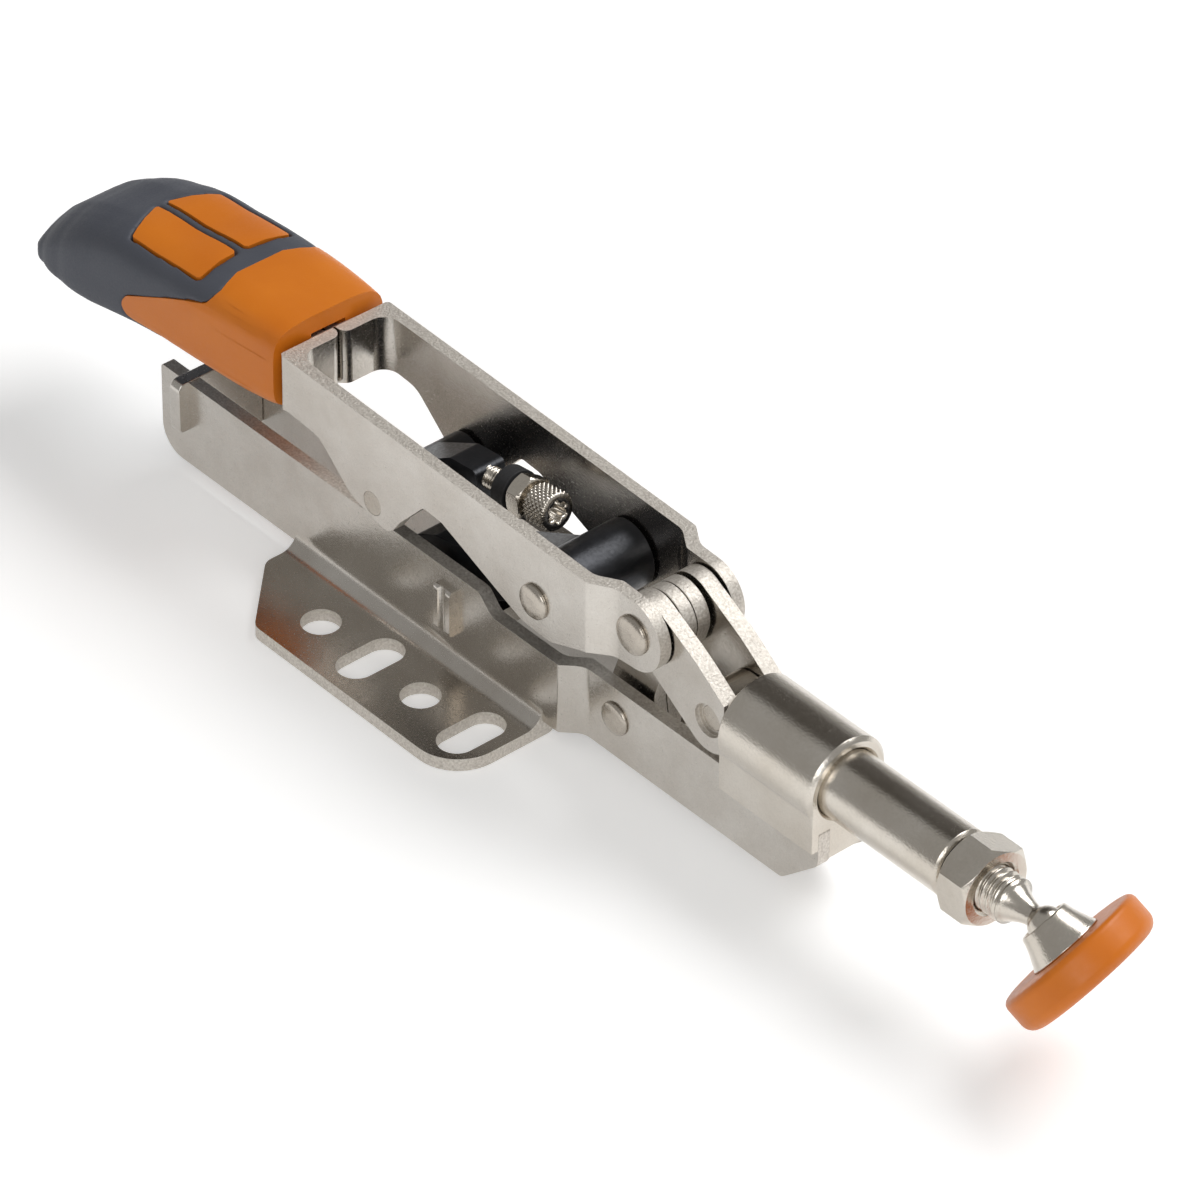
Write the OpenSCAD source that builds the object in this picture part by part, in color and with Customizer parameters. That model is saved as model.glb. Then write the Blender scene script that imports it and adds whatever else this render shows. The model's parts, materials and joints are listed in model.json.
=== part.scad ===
// Push-pull toggle clamp with a flanged sheet-metal base, a two-sheet lever with a moulded
// handle, a guided plunger and a swivelling pressure pad. Millimetres.
// X points along the plunger towards the pad, Y to the left of the clamp, Z up.
// The origin is the centre of the four round mounting holes, on the underside of the flanges.

/* [Base] */
// Thickness of the two base plates and their flanges
base_t = 2.4; // [2:0.1:2.6]
// From the middle plane to the outer face of a base plate
base_half = 9; // [8.6:0.1:9.4]
// From the middle plane to the outer face of the narrow front of a base plate
nose_half = 6; // [5.8:0.1:6.2]
// From the hole centre back to the rear end of the base plates
base_back = 66.7; // [60:0.1:75]
// From the hole centre forward to the front end of the base plates
base_front = 93.7; // [88:0.1:100]
// Height of the plates' lower edge beside the flanges
base_floor = 3.2; // [2.6:0.1:4]
// Height of the plates' upper edge at the rear
rear_h = 20.1; // [19.4:0.1:20.8]
// Height of the plates' upper edge at the front
nose_h = 16.9; // [16.2:0.1:17.2]
// Where the narrow front begins
jog_x = 35.1; // [32:0.1:38]
// Length of each mounting flange
flange_l = 62.5; // [58:0.5:68]
// From the middle plane to the outer edge of a flange
flange_reach = 28; // [26.5:0.1:30]
// Spacing of the mounting holes along the clamp
hole_pitch_x = 25.4; // [22:0.1:27]
// Spacing of the mounting holes across the clamp
hole_pitch_y = 38.1; // [36:0.1:40]
// Diameter of the mounting holes and width of the slots
hole_d = 6.85; // [5.5:0.05:7.2]
// Length of a mounting slot from end to end
slot_l = 12.8; // [9:0.1:13.4]

/* [Plunger and guide] */
// Height of the plunger's axis
axis_h = 24; // [23.6:0.1:24.6]
// Diameter of the plunger
plunger_d = 12; // [11.6:0.1:12.2]
// Outer diameter of the guide collar
guide_d = 16.4; // [15.8:0.1:17]
// Length of the guide collar
guide_l = 21.8; // [18:0.1:24]
// Length of the plunger in front of the collar
plunger_out = 26.2; // [22:0.1:32]
// Diameter of the threaded spindle
spindle_d = 8; // [7.6:0.1:8.4]
// Length of the lock nut
nut_l = 6.5; // [5:0.1:8]
// Width of the lock nut across its flats
nut_af = 13; // [12:0.1:14]
// Thickness of the black ring behind the lock nut
seal_t = 0.8; // [0.5:0.1:1.5]

/* [Pressure pad] */
// From the front of the lock nut to the centre of the ball
ball_out = 11.3; // [10.6:0.1:14]
// Diameter of the spindle's ball
ball_d = 6.2; // [5.8:0.1:6.4]
// Diameter of the pad's cap
cap_d = 26; // [20:0.5:32]
// Thickness of the pad's cap
cap_t = 6.6; // [5:0.1:9]
// Swivel of the pad away from the axis
pad_tilt = 38.7; // [0:0.1:40]
// Direction of the swivel round the axis
pad_roll = 19.3; // [0:0.1:360]

/* [Linkage] */
// Where the rocker's hinge stands along the base
hinge_x = 45.6; // [45:0.1:46.2]
// Height of the rocker's hinge
hinge_h = 10.9; // [10.5:0.1:11.3]
// Distance between the rocker's two pivots
rocker_l = 23.85; // [23.6:0.05:24.1]
// Forward lean of the closed rocker
rocker_lean = 17.8; // [17.4:0.1:18.2]
// Distance between the links' two pivots
link_l = 17.7; // [17.4:0.05:18]
// Thickness of a link
link_t = 3; // [2.6:0.1:3]
// Thickness of a rocker plate
rocker_t = 2.6; // [2.2:0.1:2.7]
// Diameter of the lever pin
lever_pin_d = 5; // [4.4:0.1:5.4]
// Diameter of the rivets through the base and the strut
rivet_d = 4.4; // [4:0.1:4.8]
// Diameter of the plunger pin
plunger_pin_d = 4.4; // [4:0.1:4.6]
// From the lever pin back to the strut's pivot
strut_back = 20.7; // [20.2:0.1:21.2]
// From the lever pin down to the strut's pivot
strut_drop = 4.2; // [3.8:0.1:4.6]
// Where the strut's lower pin stands along the base, behind the hole centre
foot_x = 2; // [1.6:0.1:2.4]
// Height of the strut's lower pin
foot_h = 12; // [11.6:0.1:12.4]
// Diameter of the strut's lower pin
foot_pin_d = 4; // [3.6:0.1:4.2]
// Diameter of the strut's hub
sleeve_d = 12; // [11:0.1:12.4]

/* [Lever] */
// Thickness of the two lever arms
arm_t = 2.3; // [2:0.1:2.3]
// From the middle plane to the outer face of an arm
arm_half = 11.5; // [11.4:0.1:12]
// From the middle plane to the outer face of an arm's front head
head_half = 8.9; // [8.8:0.1:9.2]
// Radius of an arm's front head
head_r = 6.5; // [5.8:0.1:7]
// From the strut's pivot back to the arms' rear bend
arm_back = 63.9; // [60:0.1:68]
// Height of the arms at the rear bend above the lever pin
arm_rise = 8.9; // [8:0.1:10]

/* [Adjuster] */
// From the strut's pivot back to the carriage pin
carriage_back = 40.5; // [40:0.1:41]
// From the strut's pivot down to the carriage pin
carriage_drop = 3.9; // [3.6:0.1:4.2]
// Diameter of the adjusting screw
screw_d = 4; // [3:0.1:5]
// Diameter of the knurled head
knob_d = 8.2; // [7:0.1:9]
// Length of the knurled head
knob_l = 5.2; // [4:0.1:5.6]
// Width of the adjuster's nut across its flats
small_af = 7; // [6:0.1:8]
// Rise of the adjusting screw towards the front
screw_rise = 8; // [5:0.5:10]

/* [Handle] */
// Length of the handle
handle_l = 73.5; // [68:0.5:90]
// Half the width of the handle's front end
handle_half = 11.7; // [11:0.1:12.6]
// Height of the handle's front face
handle_h = 16; // [15:0.1:17.5]
// Width of the notch that takes the two lever arms
notch_w = 5.8; // [5.6:0.1:6.6]
// Depth of the two inlaid panels
inlay_t = 1.2; // [0.8:0.1:2]

/* [Hidden] */

$fn = 48;
arc_step = 9;
steel = [0.66, 0.65, 0.62];
bright = [0.8, 0.79, 0.77];
black = [0.12, 0.12, 0.13];
orange = [0.83, 0.43, 0.12];
slate = [0.29, 0.31, 0.36];

// Clearances
run_gap = 0.06;
side_gap = 0.2;
cut = 1;

// Side view points, as [along X, height]
hinge = [hinge_x, hinge_h];
lever_at = hinge + rocker_l * [sin(rocker_lean), cos(rocker_lean)];
link_drop = lever_at.y - axis_h;
plunger_at = [lever_at.x + sqrt(pow(link_l, 2) - pow(link_drop, 2)), axis_h];
strut_at = lever_at - [strut_back, strut_drop];
carriage_at = strut_at - [carriage_back, carriage_drop];
foot_at = [-foot_x, foot_h];

// Base, from its driving sizes
base_in = base_half - base_t;
nose_in = nose_half - base_t;
jog_l = base_half - nose_half;
rear_tab_x = base_back - 6.25;
rear_tab_t = 2.5;
rear_tab_low = 10.5;
front_tab_x = 7.8;
front_tab_t = 4;
front_tab_low = 8;
front_tab_h = 9;
tab_out = 2.3;
front_tab_out = 1.5;

// Guide and plunger, from their driving sizes
guide_back = base_front - guide_l;
plunger_end = base_front + plunger_out;
nut_x = plunger_end + seal_t;
ball_x = nut_x + nut_l + ball_out;
bore_d = plunger_d + 2 * run_gap;
tongue_half = link_in() - side_gap;
ball_gap = 0.25;
spindle_deep = 24;

// Linkage widths from the middle plane
function link_out() = head_half - arm_t - 0.35;
function link_in() = link_out() - link_t;
pin_play = 1.25;
pin_recess = 0.9;
flat_end = 0.1;

// Lever arms and handle, from their driving sizes
arm_in = arm_half - arm_t;
arm_end_x = strut_at.x - arm_back;
tongue_gap = 0.2;
tongue_out = tongue_gap + arm_t;
tongue_l = 14;
arm_top = lever_at.y + arm_rise;
handle_x = arm_end_x - 1.5;
notch_top = arm_top - 0.6;

// Unit vector from a to b
function heading(a, b) = (b - a) / norm(b - a);

// Left-hand normal of a flat vector
function left_of(v) = [-v.y, v.x];

// Flat part of a point that may carry a corner radius
function flat(p) = [p.x, p.y];

function reversed(list) = [for (i = [len(list) - 1 : -1 : 0]) list[i]];

// Corner of an outline at b between a and c, as an arc of the radius b[2]
function corner(a, b, c) =
    len(b) < 3 || b[2] == 0 ? [flat(b)] :
    let (to_a = heading(flat(b), flat(a)),
         to_c = heading(flat(b), flat(c)),
         half = acos(max(-1, min(1, to_a * to_c))) / 2,
         middle = flat(b) + heading([0, 0], to_a + to_c) * b[2] / sin(half),
         first = flat(b) + to_a * b[2] / tan(half) - middle,
         last = flat(b) + to_c * b[2] / tan(half) - middle,
         start = atan2(first.y, first.x),
         turn = (atan2(last.y, last.x) - start + 540) % 360 - 180,
         steps = max(2, ceil(abs(turn) / arc_step)))
    [for (i = [0 : steps])
        middle + b[2] * [cos(start + turn * i / steps), sin(start + turn * i / steps)]];

// Points of a closed outline without those that repeat their neighbour
function distinct(points) =
    [for (i = [0 : len(points) - 1])
        if (norm(points[i] - points[(i + 1) % len(points)]) > 0.001) points[i]];

// Closed outline from points [x, y, corner radius]
function rounded(points) = distinct(
    [for (i = [0 : len(points) - 1])
        each corner(points[(i + len(points) - 1) % len(points)], points[i],
            points[(i + 1) % len(points)])]);

// Turn of a line at its point i, positive to the left
function turn_at(line, i) =
    i == 0 || i == len(line) - 1 ? 0 :
    cross(heading(flat(line[i - 1]), flat(line[i])), heading(flat(line[i]), flat(line[i + 1])));

// Point i of a line moved sideways by d with mitred corners
function moved(line, i, d) =
    let (before = left_of(heading(flat(line[max(i, 1) - 1]), flat(line[max(i, 1)]))),
         j = min(i, len(line) - 2),
         after = left_of(heading(flat(line[j]), flat(line[j + 1]))))
    flat(line[i]) + d * (before + after) / (1 + before * after);

// Edge view of a bent sheet: one face follows the line of [x, y, inner bend radius],
// the other lies at the distance t to its left, or to its right if t is negative
function band(line, t) =
    let (last = len(line) - 1,
         one = [for (i = [0 : last])
             [line[i].x, line[i].y, line[i][2] + (turn_at(line, i) * t < 0 ? abs(t) : 0)]],
         other = [for (i = [0 : last])
             let (p = moved(line, i, t))
             [p.x, p.y, line[i][2] + (turn_at(line, i) * t > 0 ? abs(t) : 0)]])
    rounded([for (i = [0 : last]) open_end(line, one, i),
        for (i = [last : -1 : 0]) open_end(line, other, i)]);

// The two ends of a bent sheet stay square
function open_end(line, side, i) =
    i == 0 || i == len(line) - 1 ? [side[i].x, side[i].y, 0] : side[i];

// Side outline drawn in X and Z, as thick as the space between y0 and y1
module upright(y0, y1) {
    translate([0, y1, 0])
        rotate([90, 0, 0])
            linear_extrude(height = y1 - y0)
                children();
}

// Round bar or hole across the clamp at the side point p, between y0 and y1
module across(p, d, y0, y1) {
    translate([p.x, y1, p.y])
        rotate([90, 0, 0])
            cylinder(d = d, h = y1 - y0);
}

// Round bar or hole along X at the plunger's height, between x0 and x1
module along(d, x0, x1) {
    translate([x0, 0, axis_h])
        rotate([0, 90, 0])
            cylinder(d = d, h = x1 - x0);
}

// Puts a shape that is turned round Z onto the plunger's axis, with its foot at x
module on_axis(x) {
    translate([x, 0, axis_h])
        rotate([0, 90, 0])
            children();
}

// Hexagon bar with its corners rounded off at both ends
module hexagon_nut(af, l, corner_h) {
    corner_r = af / sqrt(3);
    intersection() {
        cylinder(r = corner_r, h = l, $fn = 6);
        rotate_extrude()
            polygon([[0, 0], [af / 2 - 0.1, 0], [corner_r, corner_h],
                [corner_r, l - corner_h], [af / 2 - 0.1, l], [0, l]]);
    }
}

// Domed rivet head on a face across the clamp, pointing to side = 1 or -1
module rivet_head(p, d, h, face, side) {
    edge = 0.3 * h;
    translate([p.x, side * face, p.y])
        rotate([side * -90, 0, 0])
            rotate_extrude()
                polygon(concat([[0, 0], [d / 2, 0], [d / 2, edge]],
                    [for (a = [15 : 15 : 75])
                        [d / 2 - (1 - cos(a)) * 0.35 * d, edge + (h - edge) * sin(a)]],
                    [[0.15 * d, h], [0, h]]));
}

// Side outline of a base plate
function base_outline() = rounded([
    [-base_back, rear_h, 0.6], [-base_back, base_floor, 5],
    [base_front - 8.3, base_floor, 2], [base_front, 10.5, 2],
    [base_front, nose_h, 0.5], [18.5, nose_h, 2.5], [15.5, rear_h, 2.5]]);

// Outline of a flange seen from above, from inside the plate to its outer edge
function flange_outline() = rounded([
    [-flange_l / 2, base_in, 0], [flange_l / 2, base_in, 0],
    [flange_l / 2, flange_reach, 8.3], [12.3 - flange_l / 2, flange_reach, 3],
    [-flange_l / 2, flange_reach - 12.3, 3]]);

// Mounting holes and slots of one flange
module mounting_holes() {
    for (x = [-hole_pitch_x / 2, hole_pitch_x / 2])
        translate([x, hole_pitch_y / 2, -cut])
            cylinder(d = hole_d, h = base_t + 2 * cut);
    for (x = [0, hole_pitch_x])
        translate([x, hole_pitch_y / 2, -cut]) {
            for (end = [-1, 1])
                translate([0, end * (slot_l - hole_d) / 2, 0])
                    cylinder(d = hole_d, h = base_t + 2 * cut);
            translate([-hole_d / 2, -(slot_l - hole_d) / 2, 0])
                cube([hole_d, slot_l - hole_d, base_t + 2 * cut]);
        }
}

module base_plate() {
    face = [[-base_back, base_half, 0], [jog_x, base_half, 1],
        [jog_x + jog_l, nose_half, 1], [base_front, nose_half, 0]];
    bend = [[base_half - base_t, base_t + 6, 0], [base_half - base_t, 0, 1],
        [flange_reach, 0, 0]];
    difference() {
        union() {
            intersection() {
                linear_extrude(height = rear_h + cut)
                    polygon(band(face, -base_t));
                upright(0, base_half + cut)
                    polygon(base_outline());
            }
            intersection() {
                translate([-flange_l / 2, 0, 0])
                    rotate([90, 0, 90])
                        linear_extrude(height = flange_l)
                            polygon(band(bend, base_t));
                linear_extrude(height = rear_h)
                    polygon(flange_outline());
            }
        }
        mounting_holes();
        across(hinge, rivet_d, 0, base_half + cut);
        across(foot_at, foot_pin_d, 0, base_in + base_t / 2);
        translate([-rear_tab_x - rear_tab_t / 2, 0, rear_tab_low])
            cube([rear_tab_t, base_half + cut, rear_h]);
        translate([front_tab_x - front_tab_t / 2, 0, front_tab_low])
            cube([front_tab_t, base_half + cut, front_tab_h]);
    }
}

module base_plate_left() {
    color(steel)
        base_plate();
}

module base_plate_right() {
    color(steel)
        mirror([0, 1, 0])
            base_plate();
}

// Stop plate at the rear, hung in slots of the base plates
module rear_cross_plate() {
    out = base_half + tab_out;
    low = base_floor + 1.6;
    top = rear_h + 0.4;
    color(steel)
        translate([-rear_tab_x - rear_tab_t / 2, 0, 0])
            rotate([90, 0, 90])
                linear_extrude(height = rear_tab_t)
                    polygon(rounded([[-base_in, low, 0], [base_in, low, 0],
                        [base_in, rear_tab_low, 0], [out, rear_tab_low, 1],
                        [out, top, 1.6], [-out, top, 1.6],
                        [-out, rear_tab_low, 1], [-base_in, rear_tab_low, 0]]));
}

// Tie plate in the middle, staked in both base plates, open above for the strut
module front_cross_plate() {
    out = base_half + front_tab_out;
    top = front_tab_low + front_tab_h;
    low = base_floor + 1.2;
    saddle = strut_half() + 0.6;
    saddle_low = front_tab_low;
    color(steel)
        difference() {
            translate([front_tab_x - front_tab_t / 2, 0, 0])
                rotate([90, 0, 90])
                    linear_extrude(height = front_tab_t)
                        polygon(rounded([[-base_in, low, 0], [base_in, low, 0],
                            [base_in, front_tab_low, 0], [out, front_tab_low, 0.8],
                            [out, top, 0.8], [saddle, top, 0], [saddle, saddle_low, 1],
                            [-saddle, saddle_low, 1], [-saddle, top, 0], [-out, top, 0.8],
                            [-out, front_tab_low, 0.8], [-base_in, front_tab_low, 0]]));
            for (side = [-1, 1])
                translate([front_tab_x, side * (out + 0.5), front_tab_low - cut])
                    cylinder(r = 1.1, h = front_tab_h + 2 * cut);
        }
}

// Guide for the plunger: a round collar with a web between the plates and a leg outside each
module guide_collar() {
    leg_out = nose_half + 1.4;
    leg_low = axis_h - 10.4;
    web_low = axis_h - 13;
    lip = 0.7;
    color(steel)
        difference() {
            union() {
                on_axis(guide_back)
                    rotate_extrude()
                        polygon([[0, 0], [guide_d / 2 - 0.5, 0], [guide_d / 2, 0.5],
                            [guide_d / 2, guide_l - lip], [guide_d / 2 - lip, guide_l],
                            [0, guide_l]]);
                translate([guide_back, -leg_out, leg_low])
                    cube([guide_l, 2 * leg_out, axis_h - leg_low]);
                translate([guide_back, -nose_in, web_low])
                    cube([guide_l, 2 * nose_in, axis_h - web_low]);
            }
            for (side = [0, 1])
                mirror([0, side, 0])
                    translate([guide_back - cut, nose_in, web_low - cut])
                        cube([guide_l + 2 * cut, base_t, nose_h - web_low + cut]);
            along(bore_d, guide_back - cut, base_front + cut);
            on_axis(base_front - 1)
                cylinder(r1 = bore_d / 2 - 0.5, r2 = bore_d / 2 + 0.6, h = 1.1);
        }
}

// Rivet that carries the rocker
module base_rivet() {
    color(bright) {
        across(hinge, rivet_d, -nose_half, nose_half);
        for (side = [-1, 1])
            rivet_head(hinge, rivet_d + 1.6, 0.9, nose_half, side);
    }
}

// Pin that carries the strut's foot, blind in both base plates
module strut_pin() {
    color(steel)
        across(foot_at, foot_pin_d, -base_in - base_t / 2, base_in + base_t / 2);
}

// Outlines along the line between two pivots: points are [sideways, along, corner radius]
function on_line(from, to, points) =
    let (up = heading(from, to), side = -left_of(up))
    rounded([for (p = points) concat(from + side * p.x + up * p.y, [p[2]])]);

// Rocker outline: an eye at each pivot with a slimmer front edge between them
module rocker_shape() {
    foot_r = 6.2;
    eye_r = 5.3;
    waist = 3.4;
    polygon(on_line(hinge, lever_at, [
        [-foot_r, -foot_r, foot_r - flat_end], [foot_r, -foot_r, foot_r - flat_end],
        [foot_r, 1.5, 2], [waist, 7, 6], [waist, rocker_l - 7, 6], [eye_r, rocker_l - 2.5, 2],
        [eye_r, rocker_l + eye_r, eye_r - flat_end],
        [-eye_r, rocker_l + eye_r, eye_r - flat_end]]));
}

module rocker_plate() {
    inside = 0.05;
    difference() {
        upright(inside, inside + rocker_t)
            rocker_shape();
        across(hinge, rivet_d + 2 * run_gap, 0, nose_in);
        across(lever_at, lever_pin_d + 2 * run_gap, 0, nose_in);
    }
}

module rocker_plate_left() {
    color(steel)
        rocker_plate();
}

module rocker_plate_right() {
    color(steel)
        mirror([0, 1, 0])
            rocker_plate();
}

// Link outline between the lever pin and the plunger pin, fuller along its upper edge
module link_shape() {
    head_end = 5.5;
    foot_end = 5.9;
    full = 6.6;
    polygon(on_line(lever_at, plunger_at, [
        [-head_end, -head_end, head_end - flat_end], [-full, 10, 30],
        [-foot_end, link_l + foot_end, foot_end - flat_end],
        [foot_end, link_l + foot_end, foot_end - flat_end],
        [head_end, -head_end, head_end - flat_end]]));
}

// The pin is set back in the link's outer face; the foot is flat towards the collar
module link_plate() {
    difference() {
        upright(link_in(), link_out())
            link_shape();
        across(lever_at, lever_pin_d + 2 * run_gap, 0, head_half);
        across(plunger_at, plunger_pin_d, 0, head_half);
        across(plunger_at, plunger_pin_d + 1.6, link_out() - pin_recess, head_half);
        translate([guide_back - 0.4, 0, 0])
            cube([guide_l, head_half, 2 * axis_h]);
    }
}

module link_left() {
    color(steel)
        link_plate();
}

module link_right() {
    color(steel)
        mirror([0, 1, 0])
            link_plate();
}

// Pin through the plunger's tongue, flush in the links' recesses
module plunger_pin() {
    color(steel)
        across(plunger_at, plunger_pin_d, pin_recess - link_out(), link_out() - pin_recess);
}

// Round plunger with a flat tongue at the rear and a threaded bore at the front
module plunger() {
    tongue_r = 4.9;
    round_x = plunger_at.x + 6.6;
    chamfer = 0.8;
    color(bright)
        difference() {
            union() {
                on_axis(round_x)
                    rotate_extrude()
                        polygon([[0, 0], [plunger_d / 2, 0],
                            [plunger_d / 2, plunger_end - round_x - chamfer],
                            [plunger_d / 2 - chamfer, plunger_end - round_x],
                            [0, plunger_end - round_x]]);
                upright(-tongue_half, tongue_half)
                    union() {
                        translate(plunger_at)
                            circle(r = tongue_r);
                        translate([plunger_at.x, axis_h - tongue_r])
                            square([7, 2 * tongue_r]);
                    }
            }
            across(plunger_at, plunger_pin_d + 2 * pin_play, -tongue_half - cut,
                tongue_half + cut);
            along(spindle_d + 2 * run_gap, plunger_end - spindle_deep - 4, plunger_end + cut);
        }
}

module seal_ring() {
    color(black)
        on_axis(plunger_end)
            difference() {
                cylinder(r = plunger_d / 2 - 0.6, h = seal_t);
                translate([0, 0, -cut])
                    cylinder(d = spindle_d + 2 * run_gap, h = seal_t + 2 * cut);
            }
}

module lock_nut() {
    color(bright)
        on_axis(nut_x)
            difference() {
                rotate([0, 0, -20])
                    hexagon_nut(nut_af, nut_l, 0.9);
                translate([0, 0, -cut])
                    cylinder(d = spindle_d + 2 * run_gap, h = nut_l + 2 * cut);
                translate([0, 0, nut_l - 0.7])
                    cylinder(d1 = spindle_d, d2 = spindle_d + 1.8, h = 0.8);
            }
}

// Threaded spindle that necks down to a ball
module ball_spindle() {
    start = plunger_end - spindle_deep;
    thread_end = nut_x + nut_l + 4.2;
    neck_r = 1.75;
    neck_x = ball_x - sqrt(pow(ball_d / 2, 2) - pow(neck_r, 2));
    cone_l = neck_x - thread_end;
    cone_r = spindle_d / 2 - 0.7;
    color(bright)
        on_axis(start)
            rotate_extrude()
                polygon(concat([[0, 0], [spindle_d / 2, 0],
                    [spindle_d / 2, thread_end - start - 0.5], [cone_r, thread_end - start]],
                    [for (i = [1 : 6])
                        [neck_r + (cone_r - neck_r) * pow(1 - i / 6, 1.7),
                            thread_end - start + cone_l * i / 6]],
                    [for (a = [asin(neck_r / (ball_d / 2)) + 10 : 10 : 170])
                        [ball_d / 2 * sin(a), ball_x - start - ball_d / 2 * cos(a)]],
                    [[0, ball_x - start + ball_d / 2]]));
}

// Pad direction: its own X axis starts at the ball's centre
module on_pad() {
    translate([ball_x, 0, axis_h])
        rotate([pad_roll, 0, 0])
            rotate([0, pad_tilt, 0])
                rotate([0, 90, 0])
                    children();
}

pad_back = ball_d / 2 + 1.3;
cup_h = 5.4;

// Snap-in cup that holds the ball, with a slit in its rim
module pad_cup() {
    rim_r = ball_d / 2 + 1.2;
    base_r = rim_r + 1.9;
    socket_r = ball_d / 2 + ball_gap;
    color(bright)
        on_pad()
            translate([0, 0, pad_back - cup_h])
                difference() {
                    rotate_extrude()
                        polygon(concat([[0, 0], [rim_r - 0.3, 0], [rim_r, 0.3],
                            [rim_r, 2.2]],
                            [for (a = [15 : 15 : 75])
                                [rim_r + (base_r - rim_r) * (1 - cos(a)), 2.2 + 2.2 * sin(a)]],
                            [[base_r, 4.4], [base_r, cup_h], [0, cup_h]]));
                    translate([0, 0, cup_h - pad_back])
                        sphere(r = socket_r);
                    translate([0, 0, -cut])
                        cylinder(r1 = socket_r + 0.6, r2 = socket_r - 0.4, h = cut + 0.6);
                    rotate([0, 0, 75])
                        translate([0, -0.9, -cut])
                            cube([base_r, 1.8, cut + 2.2]);
                }
}

// Round pressure cap with softly rounded edges
module pad_cap() {
    edge = 2.2;
    color(orange)
        on_pad()
            translate([0, 0, pad_back])
                rotate_extrude()
                    polygon(concat([[0, 0], [cap_d / 2 - 1.2, 0]],
                        [for (a = [-60 : 30 : 0])
                            [cap_d / 2 - 1.2 + 1.2 * cos(a), 1.2 + 1.2 * sin(a)]],
                        [for (a = [0 : 15 : 90])
                            [cap_d / 2 - edge + edge * cos(a), cap_t - edge + edge * sin(a)]],
                        [[0, cap_t]]));
}

// Side outline of a lever arm with its lower lobe, and its tongue inside the handle
module arm_shape() {
    a = strut_at;
    b = lever_at;
    d = carriage_at;
    rear = arm_end_x;
    union() {
        translate(b)
            circle(r = head_r);
        polygon(rounded([[b.x, b.y + head_r, 0], [rear, arm_top, 0],
            [rear - 2.5, arm_top - 2, 1.5], [rear - tongue_l, arm_top - 2, 1],
            [rear - tongue_l, arm_top - 12, 1], [rear - 2.5, arm_top - 12, 2],
            [rear + 1.7, arm_top - 10.6, 3],
            [d.x - 13.6, d.y + 5.8, 5], [d.x - 5.2, d.y - 1.5, 7],
            [d.x + 4.2, d.y - 3.9, 3], [d.x + 7, d.y + 0.1, 3],
            [d.x + 12.9, d.y + 6.5, 1.6], [d.x + 17.5, d.y + 6.2, 2],
            [a.x - 3.3, a.y - 5.7, 4], [a.x + 3.5, a.y - 6.1, 5],
            [a.x + 12.1, a.y - 3, 6], [b.x, b.y - head_r, 0]]));
    }
}

// Lever arm: its sheet turns in behind the linkage and runs back into the handle
module lever_arm() {
    jog_front = lever_at.x - 4.3;
    face = [[lever_at.x + head_r + cut, head_half, 0], [jog_front, head_half, 1.2],
        [jog_front - 4, arm_half, 1.2], [arm_end_x, arm_half, 0.8],
        [arm_end_x, tongue_out, 1.8], [arm_end_x - tongue_l, tongue_out, 0]];
    difference() {
        intersection() {
            translate([0, 0, lever_at.y - 20])
                linear_extrude(height = 40)
                    polygon(band(face, arm_t));
            upright(0, arm_half + cut)
                arm_shape();
        }
        across(lever_at, lever_pin_d, 0, arm_half + cut);
        across(strut_at, rivet_d, 0, arm_half + cut);
        across(carriage_at, rivet_d, 0, arm_half + cut);
    }
}

module lever_arm_left() {
    color(steel)
        lever_arm();
}

module lever_arm_right() {
    color(steel)
        mirror([0, 1, 0])
            lever_arm();
}

// Pin through the lever's heads, the links and the rocker
module lever_pin() {
    color(bright) {
        across(lever_at, lever_pin_d, -head_half, head_half);
        for (side = [-1, 1])
            rivet_head(lever_at, lever_pin_d + 2, 1.2, head_half, side);
    }
}

// Rivet that holds the strut between the lever arms
module strut_rivet() {
    color(bright) {
        across(strut_at, rivet_d, -arm_half, arm_half);
        for (side = [-1, 1])
            rivet_head(strut_at, rivet_d + 1.9, 1.2, arm_half, side);
    }
}

function strut_half() = 4;

// Black strut with a wide hub between the arms and a slotted foot on the base's lower pin
module strut() {
    hub_half = arm_in - 0.5;
    bar = 4.6;
    eye_r = foot_pin_d / 2 + 4.3;
    strut_l = norm(foot_at - strut_at);
    slot_r = foot_pin_d / 2 + 0.75;
    slot_ends = [foot_at + [1.9, -1.5], foot_at + [-2.3, 0.85]];
    slot_far = norm(slot_ends[1] - slot_ends[0]) + slot_r;
    slot_corner = slot_r - flat_end;
    color(black)
        difference() {
            union() {
                across(strut_at, sleeve_d, -hub_half, hub_half);
                upright(-strut_half(), strut_half())
                    polygon(on_line(strut_at, foot_at, [
                        [-bar, -2, 0], [bar, -2, 0], [bar, strut_l - 10, 4],
                        [eye_r, strut_l - 4, 2], [eye_r, strut_l + eye_r, eye_r - flat_end],
                        [-eye_r, strut_l + eye_r, eye_r - flat_end], [-eye_r, strut_l - 4, 2],
                        [-bar, strut_l - 10, 4]]));
            }
            across(strut_at, rivet_d + 2 * run_gap, -arm_in, arm_in);
            upright(-arm_in, arm_in)
                polygon(on_line(slot_ends[0], slot_ends[1], [
                    [-slot_r, -slot_r, slot_corner], [slot_r, -slot_r, slot_corner],
                    [slot_r, slot_far, slot_corner], [-slot_r, slot_far, slot_corner]]));
        }
}

// Flush pin through the arms' lobes
module carriage_pin() {
    color(steel)
        across(carriage_at, rivet_d, -arm_half, arm_half);
}

// Adjuster line: it starts at the block and rises to the front
block_at = carriage_at + [13.2, 8.7];

module on_screw(along_screw) {
    translate([block_at.x, 0, block_at.y])
        rotate([0, 90 - screw_rise, 0])
            translate([0, 0, along_screw])
                children();
}

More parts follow.
